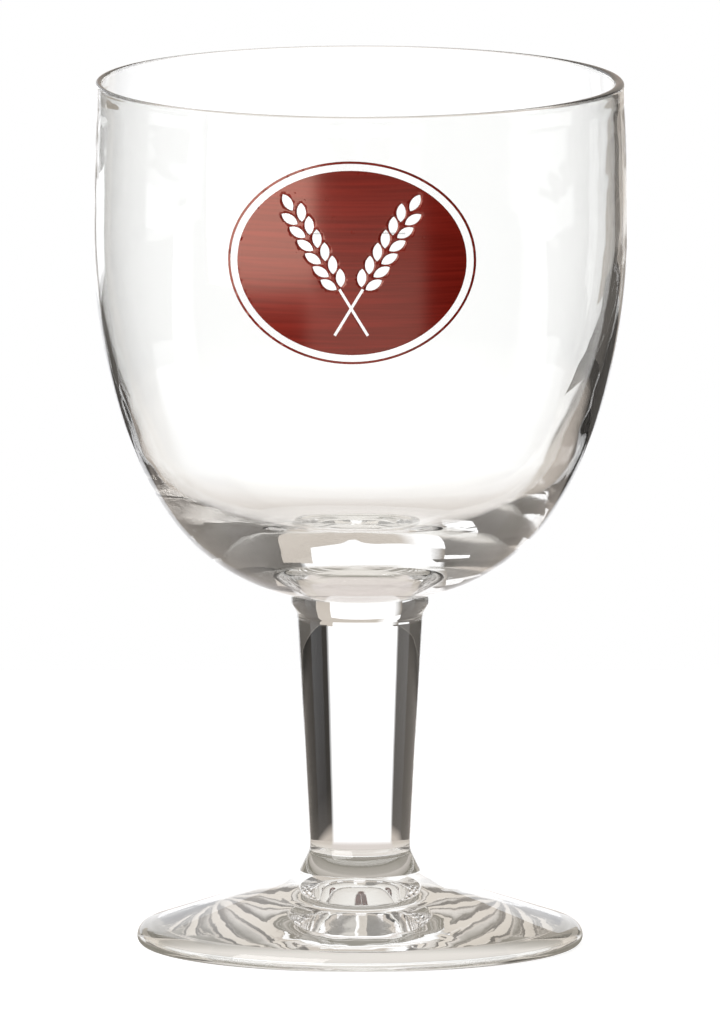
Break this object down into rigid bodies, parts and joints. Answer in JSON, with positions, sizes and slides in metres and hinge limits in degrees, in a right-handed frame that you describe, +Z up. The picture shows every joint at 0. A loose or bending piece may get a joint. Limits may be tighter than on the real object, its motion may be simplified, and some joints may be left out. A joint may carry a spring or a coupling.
{
  "type": "chalice beer glass",
  "caption": "Stemmed chalice beer glass: deep round bowl with a printed oval badge and a fill mark, solid tapered stem with a collar, sloping round foot.",
  "frame": {"origin": "on the table, on the axis of the glass", "axes": "+Z up along the axis of the glass; the badge faces -Y and the capacity mark +Y"},
  "size_m": [0.108, 0.1081, 0.175],
  "materials": {
    "clear_glass": "fire-polished gloss",
    "maroon_enamel": "gloss",
    "pale_enamel": "satin"
  },
  "bodies": {
    "root": {"bowl": "clear_glass", "stem": "clear_glass", "foot": "clear_glass", "badge_border": "maroon_enamel", "badge_field": "maroon_enamel", "fill_line": "pale_enamel", "capacity_figures": "pale_enamel"}
  },
  "joints": []
}
